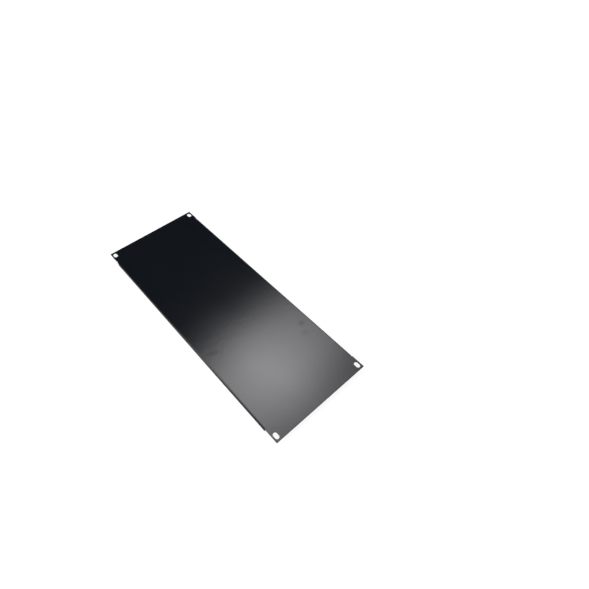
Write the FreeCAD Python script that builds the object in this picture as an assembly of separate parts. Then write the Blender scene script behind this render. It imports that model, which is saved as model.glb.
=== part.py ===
import FreeCAD, Part
import math
import os

from FreeCAD import Vector

# Rack blanking panel, four rack units high: one sheet of steel, punched flat and folded.
#
# A flat face closes the front of the rack. Each end of it is an ear, with a slot near
# each of its corners for a screw into the rack's rail. The two long edges between the
# ears are folded back at a right angle, and these flanges keep the wide face stiff.
# A relief notch at each end of a fold parts the flange from the ear, so that the press
# folds the flange alone and the ear stays flat against the rail. The notch is a V with
# its point on the bend line: one side slopes across the ear's corner, and the other is
# the end of the flange, which leans back a little towards its free edge.
#
# The panel lies face up on its flanges. X runs along the 19-inch width, Y along the
# height that the panel takes up in the rack, and Z out of the front of the face. The
# origin is the middle of the footprint, level with the flanges' free edges. Millimetres.

# The place in the rack
RACK_UNIT = 44.45
UNITS_HIGH = 4
HEIGHT_CLEARANCE = 0.8
PANEL_WIDTH = 482.6

# The sheet and its two folds
SHEET = 1.2
INNER_BEND_RADIUS = 0.8
FLANGE_DEPTH = 10.0
FLANGE_END_LEAN = 1.5

# The ears and their slots
EAR_LENGTH = 23.9
EAR_CORNER_RADIUS = 0.8
SLOT_WIDTH = 6.8
SLOT_LENGTH = 11.0
SLOT_FROM_END = 8.75
SLOT_FROM_UNIT_EDGE = 6.35

# The relief notches, measured along the panel from the ear to the point of the V, and
# the small round that deburring and the paint leave on the edges of the show side
RELIEF_LENGTH = 2.5
EDGE_ROUND = 0.2

# Places that follow from the sizes
HALF_WIDTH = PANEL_WIDTH / 2
HALF_HEIGHT = (UNITS_HIGH * RACK_UNIT - HEIGHT_CLEARANCE) / 2
OUTER_BEND_RADIUS = INNER_BEND_RADIUS + SHEET
BEND_LINE_Y = HALF_HEIGHT - OUTER_BEND_RADIUS
BEND_LINE_Z = FLANGE_DEPTH - OUTER_BEND_RADIUS
FACE_BACK_Z = FLANGE_DEPTH - SHEET
EAR_INNER_X = HALF_WIDTH - EAR_LENGTH
FLANGE_END_X = EAR_INNER_X - RELIEF_LENGTH
SLOT_X = HALF_WIDTH - SLOT_FROM_END
SLOT_Y = UNITS_HIGH * RACK_UNIT / 2 - SLOT_FROM_UNIT_EDGE

# How far the cutters run: the punches go through the sheet from one sheet's thickness
# behind it to as much in front, and the flange cutters from the bend line to well outside
PUNCH_START_Z = FACE_BACK_Z - SHEET
PUNCH_TRAVEL = 3 * SHEET
FLANGE_CUT_TRAVEL = 2 * OUTER_BEND_RADIUS

ORIGIN = Vector(0, 0, 0)
X_AXIS = Vector(1, 0, 0)
Y_AXIS = Vector(0, 1, 0)
SAME_PLACE = 1e-6
# Two surfaces whose normals meet at more than this cosine run into each other smoothly
SMOOTH_JOIN = 0.99


def same(a, b):
    return abs(a - b) < SAME_PLACE


def edges_where(shape, test):
    """The edges whose middle passes the test."""
    return [edge for edge in shape.Edges if test(edge.CenterOfMass)]


def line(start, end):
    return Part.LineSegment(start, end).toShape()


def arc(centre, toward_start, toward_middle, toward_end):
    """The arc about this centre through three points given from the centre."""
    points = [centre + toward for toward in (toward_start, toward_middle, toward_end)]
    return Part.Arc(*points).toShape()


def bend(radius):
    """The quarter turn of the +Y fold at this radius, from the face to the flange."""
    centre = Vector(-FLANGE_END_X, BEND_LINE_Y, BEND_LINE_Z)
    up = Vector(0, 0, radius)
    out = Vector(0, radius, 0)
    return arc(centre, up, (up + out) / math.sqrt(2), out)


def channel():
    """The face between the ears and both flanges: one folded section, drawn out along X."""
    x = -FLANGE_END_X
    outer = bend(OUTER_BEND_RADIUS)
    inner = bend(INNER_BEND_RADIUS)
    half = [
        line(Vector(x, 0, FLANGE_DEPTH), Vector(x, BEND_LINE_Y, FLANGE_DEPTH)),
        outer,
        line(Vector(x, HALF_HEIGHT, BEND_LINE_Z), Vector(x, HALF_HEIGHT, 0)),
        line(Vector(x, HALF_HEIGHT, 0), Vector(x, HALF_HEIGHT - SHEET, 0)),
        line(Vector(x, HALF_HEIGHT - SHEET, 0), Vector(x, HALF_HEIGHT - SHEET, BEND_LINE_Z)),
        inner,
        line(Vector(x, BEND_LINE_Y, FACE_BACK_Z), Vector(x, 0, FACE_BACK_Z)),
    ]
    other_half = [edge.mirror(ORIGIN, Y_AXIS) for edge in half]
    outline = Part.Wire(Part.__sortEdges__(half + other_half))
    drawn = Part.Face(outline).extrude(Vector(2 * FLANGE_END_X, 0, 0))
    ends = [flange_end(), flange_end().mirror(ORIGIN, Y_AXIS)]
    return drawn.cut(ends + [end.mirror(ORIGIN, X_AXIS) for end in ends])


def flange_end():
    """The cutter for the +X end of the +Y flange: a wedge that starts from the face."""
    top = Vector(FLANGE_END_X, BEND_LINE_Y, FLANGE_DEPTH)
    foot = Vector(FLANGE_END_X, BEND_LINE_Y, 0)
    leaned = foot - Vector(FLANGE_END_LEAN, 0, 0)
    wedge = Part.Face(Part.makePolygon([top, foot, leaned, top]))
    return wedge.extrude(Vector(0, FLANGE_CUT_TRAVEL, 0))


def relief_notch():
    """The cutter for the ear's side of the V at the +X end of the +Y fold."""
    point = Vector(FLANGE_END_X, BEND_LINE_Y, PUNCH_START_Z)
    on_edge = Vector(EAR_INNER_X, HALF_HEIGHT, PUNCH_START_Z)
    outside = on_edge + (on_edge - point)
    corner = Vector(point.x, outside.y, point.z)
    notch = Part.Face(Part.makePolygon([point, outside, corner, point]))
    return notch.extrude(Vector(0, 0, PUNCH_TRAVEL))


def screw_slot():
    """The cutter for the slot in the +X +Y corner: straight sides along X, half-round ends."""
    radius = SLOT_WIDTH / 2
    side = Vector(0, radius, 0)
    end = Vector(radius, 0, 0)
    right = Vector(SLOT_X + SLOT_LENGTH / 2 - radius, SLOT_Y, PUNCH_START_Z)
    left = Vector(SLOT_X - SLOT_LENGTH / 2 + radius, SLOT_Y, PUNCH_START_Z)
    outline = Part.Wire(
        [
            line(left + side, right + side),
            arc(right, side, end, -side),
            line(right - side, left - side),
            arc(left, -side, -end, side),
        ]
    )
    return Part.Face(outline).extrude(Vector(0, 0, PUNCH_TRAVEL))


def ear():
    """The +X ear, with its two slots and its corners sloped for the relief notches."""
    corner = Vector(FLANGE_END_X, -HALF_HEIGHT, FACE_BACK_Z)
    plate = Part.makeBox(HALF_WIDTH - FLANGE_END_X, 2 * HALF_HEIGHT, SHEET, corner)
    outer_corners = edges_where(
        plate, lambda at: same(at.x, HALF_WIDTH) and same(abs(at.y), HALF_HEIGHT)
    )
    plate = plate.makeFillet(EAR_CORNER_RADIUS, outer_corners)
    cutters = [relief_notch(), screw_slot()]
    return plate.cut(cutters + [cutter.mirror(ORIGIN, Y_AXIS) for cutter in cutters])


def on_outside(at):
    """Whether a point lies on the side of the sheet that shows: face, folds and flanges."""
    to_bend_line = math.hypot(abs(at.y) - BEND_LINE_Y, at.z - BEND_LINE_Z)
    on_face = same(at.z, FLANGE_DEPTH)
    on_fold = abs(at.x) < EAR_INNER_X and same(to_bend_line, OUTER_BEND_RADIUS)
    on_flange = same(abs(at.y), HALF_HEIGHT) and at.z < BEND_LINE_Z
    return on_face or on_fold or on_flange


def is_sheared(shape, edge):
    """Whether this edge is a corner between the outside of the sheet and its cut rim."""
    middle = edge.valueAt(edge.getParameterByLength(edge.Length / 2))
    normals = [
        face.normalAt(*face.Surface.parameter(middle))
        for face in shape.ancestorsOfType(edge, Part.Face)
    ]
    return on_outside(middle) and abs(normals[0].dot(normals[1])) < SMOOTH_JOIN


def blanking_panel():
    """The whole panel: the channel and both ears as one sheet, with its show edges rounded."""
    right_ear = ear()
    left_ear = right_ear.mirror(ORIGIN, X_AXIS)
    sheet = channel().fuse([right_ear, left_ear]).removeSplitter()
    sheared = [edge for edge in sheet.Edges if is_sheared(sheet, edge)]
    return sheet.makeFillet(EDGE_ROUND, sheared).Solids[0]


os.makedirs("parts", exist_ok=True)
blanking_panel().exportStep("parts/blanking_panel.step")
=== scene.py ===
import math

import bpy
from mathutils import Matrix, Vector


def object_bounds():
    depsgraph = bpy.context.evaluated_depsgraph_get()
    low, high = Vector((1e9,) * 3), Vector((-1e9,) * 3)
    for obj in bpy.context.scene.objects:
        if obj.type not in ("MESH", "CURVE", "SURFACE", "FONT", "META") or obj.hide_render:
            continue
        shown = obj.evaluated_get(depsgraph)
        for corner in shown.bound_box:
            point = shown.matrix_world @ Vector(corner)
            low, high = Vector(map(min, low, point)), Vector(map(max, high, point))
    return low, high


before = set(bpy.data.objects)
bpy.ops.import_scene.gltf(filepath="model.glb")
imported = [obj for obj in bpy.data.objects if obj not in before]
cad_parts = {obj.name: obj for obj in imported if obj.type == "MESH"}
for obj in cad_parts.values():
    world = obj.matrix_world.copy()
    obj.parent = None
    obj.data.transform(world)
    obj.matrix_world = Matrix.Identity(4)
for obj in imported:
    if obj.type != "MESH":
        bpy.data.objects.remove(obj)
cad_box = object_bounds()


# ------------------------------------------------------------------------------------
# The blanking panel: one sheet of 1.2 mm steel, punched flat and folded back along both
# long edges. It is powder coated all over after folding, cut edges and slots included.
# ------------------------------------------------------------------------------------
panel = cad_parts["blanking_panel"]
MILLIMETRE = 0.001


def colour(hex_code):
    """An sRGB hex colour as the linear colour that a shader takes."""
    channels = [int(hex_code[i : i + 2], 16) / 255 for i in (1, 3, 5)]
    return [
        *(c / 12.92 if c <= 0.04045 else ((c + 0.055) / 1.055) ** 2.4 for c in channels),
        1.0,
    ]


def add(tree, kind, inputs=None, **settings):
    """Adds a node with its settings. Each input takes a plain value or another node's socket."""
    node = tree.nodes.new(kind)
    for name, value in settings.items():
        setattr(node, name, value)
    for name, value in (inputs or {}).items():
        if isinstance(value, bpy.types.NodeSocket):
            tree.links.new(value, node.inputs[name])
        else:
            node.inputs[name].default_value = value
    return node


# Polyester powder coat, satin black: the powder melts in the oven and flows to a smooth film,
# so it mirrors a lamp as a soft patch.
COAT_COLOUR = "#0d1116"
COAT_IOR = 1.5
COAT_ROUGHNESS = 0.15
# The film's faint orange peel ripples what it mirrors. Real ripples are 1 to 10 mm long and a
# few thousandths of a millimetre high, and they are drawn several times as high, to show.
PEEL_LENGTH = 4.0
PEEL_HEIGHT = 0.05
PEEL_DETAIL = 2.0
# What handling leaves: a broad uneven film, which dulls some parts a little more than others.
FILM_LENGTH = 70.0
FILM_DETAIL = 3.0
FILM_ROUGHNESS = 0.03
# And marks, two fingertips and a short wipe, as (x, y, half length, half width, turn, added
# roughness), in millimetres and degrees from the middle of the face. Each one fades out at
# MARK_EDGE times its half sizes, and its small depth keeps it off the back of the sheet.
MARKS = [
    (117.0, 72.0, 7.0, 6.0, 60.0, 0.13),
    (135.0, 63.5, 8.0, 5.5, 70.0, 0.09),
    (63.0, -73.5, 16.0, 6.0, 64.0, 0.24),
]
MARK_DEPTH = 0.5
MARK_EDGE = 1.5

coat = bpy.data.materials.new("satin_black_powder_coat")
coat.use_nodes = True
coat_tree = coat.node_tree
coat_tree.nodes.clear()
on_panel = add(coat_tree, "ShaderNodeTexCoord").outputs["Object"]
in_millimetres = add(
    coat_tree,
    "ShaderNodeVectorMath",
    {"Vector": on_panel, "Scale": 1 / MILLIMETRE},
    operation="SCALE",
).outputs["Vector"]

peel = add(
    coat_tree,
    "ShaderNodeTexNoise",
    {"Vector": in_millimetres, "Scale": 1 / PEEL_LENGTH, "Detail": PEEL_DETAIL},
)
ripples = add(
    coat_tree,
    "ShaderNodeBump",
    {"Height": peel.outputs["Fac"], "Distance": PEEL_HEIGHT * MILLIMETRE},
)

film = add(
    coat_tree,
    "ShaderNodeTexNoise",
    {"Vector": in_millimetres, "Scale": 1 / FILM_LENGTH, "Detail": FILM_DETAIL},
)
roughness = add(
    coat_tree,
    "ShaderNodeMapRange",
    {
        "Value": film.outputs["Fac"],
        "To Min": COAT_ROUGHNESS - FILM_ROUGHNESS,
        "To Max": COAT_ROUGHNESS + FILM_ROUGHNESS,
    },
).outputs["Result"]
for x, y, half_length, half_width, mark_turn, added_roughness in MARKS:
    centred = add(
        coat_tree,
        "ShaderNodeMapping",
        {
            "Vector": in_millimetres,
            "Location": (x, y, cad_box[1][2] / MILLIMETRE),
            "Rotation": (0.0, 0.0, math.radians(mark_turn)),
            "Scale": (half_length, half_width, MARK_DEPTH),
        },
        vector_type="TEXTURE",
    )
    from_middle = add(
        coat_tree, "ShaderNodeVectorMath", {0: centred.outputs["Vector"]}, operation="LENGTH"
    )
    mark = add(
        coat_tree,
        "ShaderNodeMapRange",
        {"Value": from_middle.outputs["Value"], "From Min": MARK_EDGE, "From Max": 0.0},
        interpolation_type="SMOOTHSTEP",
    )
    roughness = add(
        coat_tree,
        "ShaderNodeMath",
        {0: mark.outputs["Result"], 1: added_roughness, 2: roughness},
        operation="MULTIPLY_ADD",
    ).outputs["Value"]

skin = add(
    coat_tree,
    "ShaderNodeBsdfPrincipled",
    {
        "Base Color": colour(COAT_COLOUR),
        "IOR": COAT_IOR,
        "Roughness": roughness,
        "Normal": ripples.outputs["Normal"],
    },
)
add(coat_tree, "ShaderNodeOutputMaterial", {"Surface": skin.outputs["BSDF"]})
for slot in panel.material_slots:
    slot.material = coat


# ------------------------------------------------------------------------------------
# The floor: a wide sheet of matt grey studio paper, laid flat, that the panel lies on. The
# exposure burns it out to white. Near the panel it keeps some real shadow, and close under it a
# painted shade.
# ------------------------------------------------------------------------------------
PAPER_HALF_SIZE = 4.0
# Uncoated paper scatters light evenly, so the panel's flanges mirror a plain mid grey.
PAPER_COLOUR = "#7c7c76"
# What the camera gets from the paper: a glow, which is all of the white far from the panel,
# and near it a lit share that the panel's shadow takes away.
NEAR_GLOW = 0.85
NEAR_RADIUS = 0.28
FAR_RADIUS = 0.5
LIT_SHARE = 0.17
# Between the flanges the paper's glow is lowered to a painted shade, which shows through the
# near notches. It fades out softly at the open ends, and stops sharply at the flanges' inner
# faces.
EAR_LENGTH = 0.0239
NOTCH_LENGTH = 0.0025
SHEET_THICKNESS = 0.0012
PAINTED_SHADE_GLOW = 0.12
SHADE_HALF_LENGTH = cad_box[1][0] - EAR_LENGTH - NOTCH_LENGTH
SHADE_HALF_WIDTH = cad_box[1][1] - SHEET_THICKNESS
OPEN_END_FADE = 0.007
FLANGE_FADE = 0.001


def flat_mesh(name, half_length, half_width):
    """A flat rectangle round the origin."""
    corners = [(-1, -1), (1, -1), (1, 1), (-1, 1)]
    mesh = bpy.data.meshes.new(name)
    mesh.from_pydata(
        [(half_length * x, half_width * y, 0) for x, y in corners], [], [range(len(corners))]
    )
    return mesh


paper = flat_mesh("paper_floor", PAPER_HALF_SIZE, PAPER_HALF_SIZE)
floor = bpy.data.objects.new("paper_floor", paper)
bpy.context.scene.collection.objects.link(floor)

studio_paper = bpy.data.materials.new("matt_grey_studio_paper")
studio_paper.use_nodes = True
paper_tree = studio_paper.node_tree
paper_tree.nodes.clear()
matt = add(paper_tree, "ShaderNodeBsdfDiffuse", {"Color": colour(PAPER_COLOUR)})
on_paper = add(paper_tree, "ShaderNodeTexCoord").outputs["Object"]
from_panel = add(paper_tree, "ShaderNodeVectorMath", {0: on_paper}, operation="LENGTH")
open_glow = add(
    paper_tree,
    "ShaderNodeMapRange",
    {
        "Value": from_panel.outputs["Value"],
        "From Min": NEAR_RADIUS,
        "From Max": FAR_RADIUS,
        "To Min": NEAR_GLOW,
        "To Max": 1.0,
    },
    interpolation_type="SMOOTHSTEP",
)
along_and_across = add(paper_tree, "ShaderNodeSeparateXYZ", {"Vector": on_paper}).outputs
shade_edges = [(SHADE_HALF_LENGTH, OPEN_END_FADE), (SHADE_HALF_WIDTH, FLANGE_FADE)]
covered = []
for axis, (edge, fade) in zip(along_and_across, shade_edges):
    off_middle = add(paper_tree, "ShaderNodeMath", {0: axis}, operation="ABSOLUTE")
    inside = add(
        paper_tree,
        "ShaderNodeMapRange",
        {
            "Value": off_middle.outputs["Value"],
            "From Min": edge + fade / 2,
            "From Max": edge - fade / 2,
        },
        interpolation_type="SMOOTHSTEP",
    )
    covered.append(inside.outputs["Result"])
# Painted shade: inside the panel's footprint the paper's glow drops to PAINTED_SHADE_GLOW,
# whatever the lamps do.
painted_shade = add(
    paper_tree, "ShaderNodeMath", {0: covered[0], 1: covered[1]}, operation="MULTIPLY"
)
glow = add(
    paper_tree,
    "ShaderNodeMath",
    {0: painted_shade.outputs["Value"], 1: PAINTED_SHADE_GLOW - NEAR_GLOW, 2: open_glow.outputs["Result"]},
    operation="MULTIPLY_ADD",
)
burnt_out = add(paper_tree, "ShaderNodeEmission", {"Strength": glow.outputs["Value"]})
lit = add(
    paper_tree, "ShaderNodeBsdfDiffuse", {"Color": (LIT_SHARE, LIT_SHARE, LIT_SHARE, 1.0)}
)
white_paper = add(
    paper_tree,
    "ShaderNodeAddShader",
    {0: burnt_out.outputs["Emission"], 1: lit.outputs["BSDF"]},
)
paper_seen = add(paper_tree, "ShaderNodeLightPath").outputs["Is Camera Ray"]
either_paper = add(
    paper_tree,
    "ShaderNodeMixShader",
    {0: paper_seen, 1: matt.outputs["BSDF"], 2: white_paper.outputs["Shader"]},
)
add(paper_tree, "ShaderNodeOutputMaterial", {"Surface": either_paper.outputs["Shader"]})
paper.materials.append(studio_paper)


# ------------------------------------------------------------------------------------
# The studio: three lit cloths and a fill lamp round the panel, in a dark room. The cloths
# are a softbox, a reflector and a strip light, and the panel shows each as a reflection.
# ------------------------------------------------------------------------------------
# Thin white diffusion cloth, lit from behind: it glows softly, with no hard edge, and lets
# the light from beyond it through.
CLOTH_COLOUR = "#fffdff"
# At one spread from its middle, a cloth's glow has changed by a factor of e to this power.
SPREAD_POWER = -0.5


def aimed(facing):
    """The turn that points a lamp's or a cloth's lit side, its -Z, along a direction."""
    return Vector(facing).to_track_quat("-Z", "Y").to_matrix().to_4x4()


def lit_cloth(name, place, facing, turn, half_size, spread, fall, strength):
    """A cloth that glows brightest in its middle and fades out along its two axes."""
    cloth = flat_mesh(name, *half_size)
    box = bpy.data.objects.new(name, cloth)
    box.matrix_world = Matrix.Translation(place) @ aimed(facing) @ Matrix.Rotation(turn, 4, "Z")
    box.visible_camera = False
    bpy.context.scene.collection.objects.link(box)

    diffuser = bpy.data.materials.new(name + "_diffuser")
    diffuser.use_nodes = True
    tree = diffuser.node_tree
    tree.nodes.clear()
    on_cloth = add(tree, "ShaderNodeTexCoord").outputs["Object"]
    axes = add(tree, "ShaderNodeSeparateXYZ", {"Vector": on_cloth}).outputs
    dimming = 0.0
    for axis, reach, power in zip(axes, spread, fall):
        spreads = add(tree, "ShaderNodeMath", {0: axis, 1: 1 / reach}, operation="MULTIPLY")
        away = add(tree, "ShaderNodeMath", {0: spreads.outputs[0]}, operation="ABSOLUTE")
        fallen = add(
            tree, "ShaderNodeMath", {0: away.outputs[0], 1: power}, operation="POWER"
        )
        dimming = add(
            tree,
            "ShaderNodeMath",
            {0: fallen.outputs[0], 1: SPREAD_POWER, 2: dimming},
            operation="MULTIPLY_ADD",
        ).outputs[0]
    share = add(tree, "ShaderNodeMath", {0: dimming}, operation="EXPONENT")
    level = add(
        tree, "ShaderNodeMath", {0: share.outputs[0], 1: strength}, operation="MULTIPLY"
    )
    light = add(
        tree,
        "ShaderNodeEmission",
        {"Color": colour(CLOTH_COLOUR), "Strength": level.outputs[0]},
    )
    clear = add(tree, "ShaderNodeBsdfTransparent")
    both = add(
        tree, "ShaderNodeAddShader", {0: light.outputs["Emission"], 1: clear.outputs["BSDF"]}
    )
    add(tree, "ShaderNodeOutputMaterial", {"Surface": both.outputs["Shader"]})
    cloth.materials.append(diffuser)


# Over the panel's far left: the right half of the face mirrors it as a soft bright patch.
lit_cloth(
    "softbox",
    place=(-0.39, 0.338, 1.21),
    facing=(0, 0, -1),
    turn=0.132,
    half_size=(0.554, 0.694),
    spread=(0.207, 0.262),
    fall=(3.04, 1.21),
    strength=7.1,
)
# Narrow, beside the softbox: it keeps the face's right end from going dark.
lit_cloth(
    "reflector",
    place=(-0.051, 0.455, 1.20),
    facing=(0, 0, -1),
    turn=0.0,
    half_size=(0.2, 0.9),
    spread=(0.065, 0.468),
    fall=(2.0, 2.0),
    strength=1.4,
)
# Lower, on the near left: the near fold mirrors it as a thin pale line.
lit_cloth(
    "strip_light",
    place=(-0.445, -0.95, 0.85),
    facing=(0.63, 0.86, -0.85),
    turn=0.0,
    half_size=(0.4, 0.9),
    spread=(0.104, 0.9),
    fall=(2.0, 2.0),
    strength=7.3,
)

# A broad weak lamp on the near right, which lights the near fold and the slots' walls.
FILL_PLACE = Vector((0.9, -0.9, 1.6))
FILL_SIZE = 1.2
FILL_WATTS = 30.0

fill = bpy.data.objects.new("fill", bpy.data.lights.new("fill", "AREA"))
fill.data.shape = "SQUARE"
fill.data.size = FILL_SIZE
fill.data.energy = FILL_WATTS
fill.matrix_world = Matrix.Translation(FILL_PLACE) @ aimed(-FILL_PLACE)
bpy.context.scene.collection.objects.link(fill)

# The room is dark to the panel, and white where the camera sees past the paper.
ROOM_COLOUR = "#2f2f2f"
BACKDROP_COLOUR = "#ffffff"

world = bpy.data.worlds.new("dark_studio")
bpy.context.scene.world = world
world.use_nodes = True
room_tree = world.node_tree
room_tree.nodes.clear()
room = add(room_tree, "ShaderNodeBackground", {"Color": colour(ROOM_COLOUR)})
backdrop = add(room_tree, "ShaderNodeBackground", {"Color": colour(BACKDROP_COLOUR)})
backdrop_seen = add(room_tree, "ShaderNodeLightPath").outputs["Is Camera Ray"]
surroundings = add(
    room_tree,
    "ShaderNodeMixShader",
    {0: backdrop_seen, 1: room.outputs["Background"], 2: backdrop.outputs["Background"]},
)
add(room_tree, "ShaderNodeOutputWorld", {"Surface": surroundings.outputs["Shader"]})


# ------------------------------------------------------------------------------------
# The camera: a wide lens, close to the panel and well above its near right corner. It aims
# past the panel's far side, so the panel lies to the left of the view's middle.
# ------------------------------------------------------------------------------------
LENS = 26.56
AZIMUTH = math.radians(48.56)
ELEVATION = math.radians(52.06)
ROLL = math.radians(-0.84)
DISTANCE = 0.758
AIM = Vector((0.065, 0.1035, 0.010))

camera = bpy.data.objects.new("camera", bpy.data.cameras.new("camera"))
camera.data.lens = LENS
camera.matrix_world = (
    Matrix.Translation(AIM)
    @ Matrix.Rotation(AZIMUTH, 4, "Z")
    @ Matrix.Rotation(math.pi / 2 - ELEVATION, 4, "X")
    @ Matrix.Rotation(ROLL, 4, "Z")
    @ Matrix.Translation((0, 0, DISTANCE))
)
bpy.context.scene.collection.objects.link(camera)
bpy.context.scene.camera = camera
bpy.context.scene.view_settings.view_transform = "Standard"
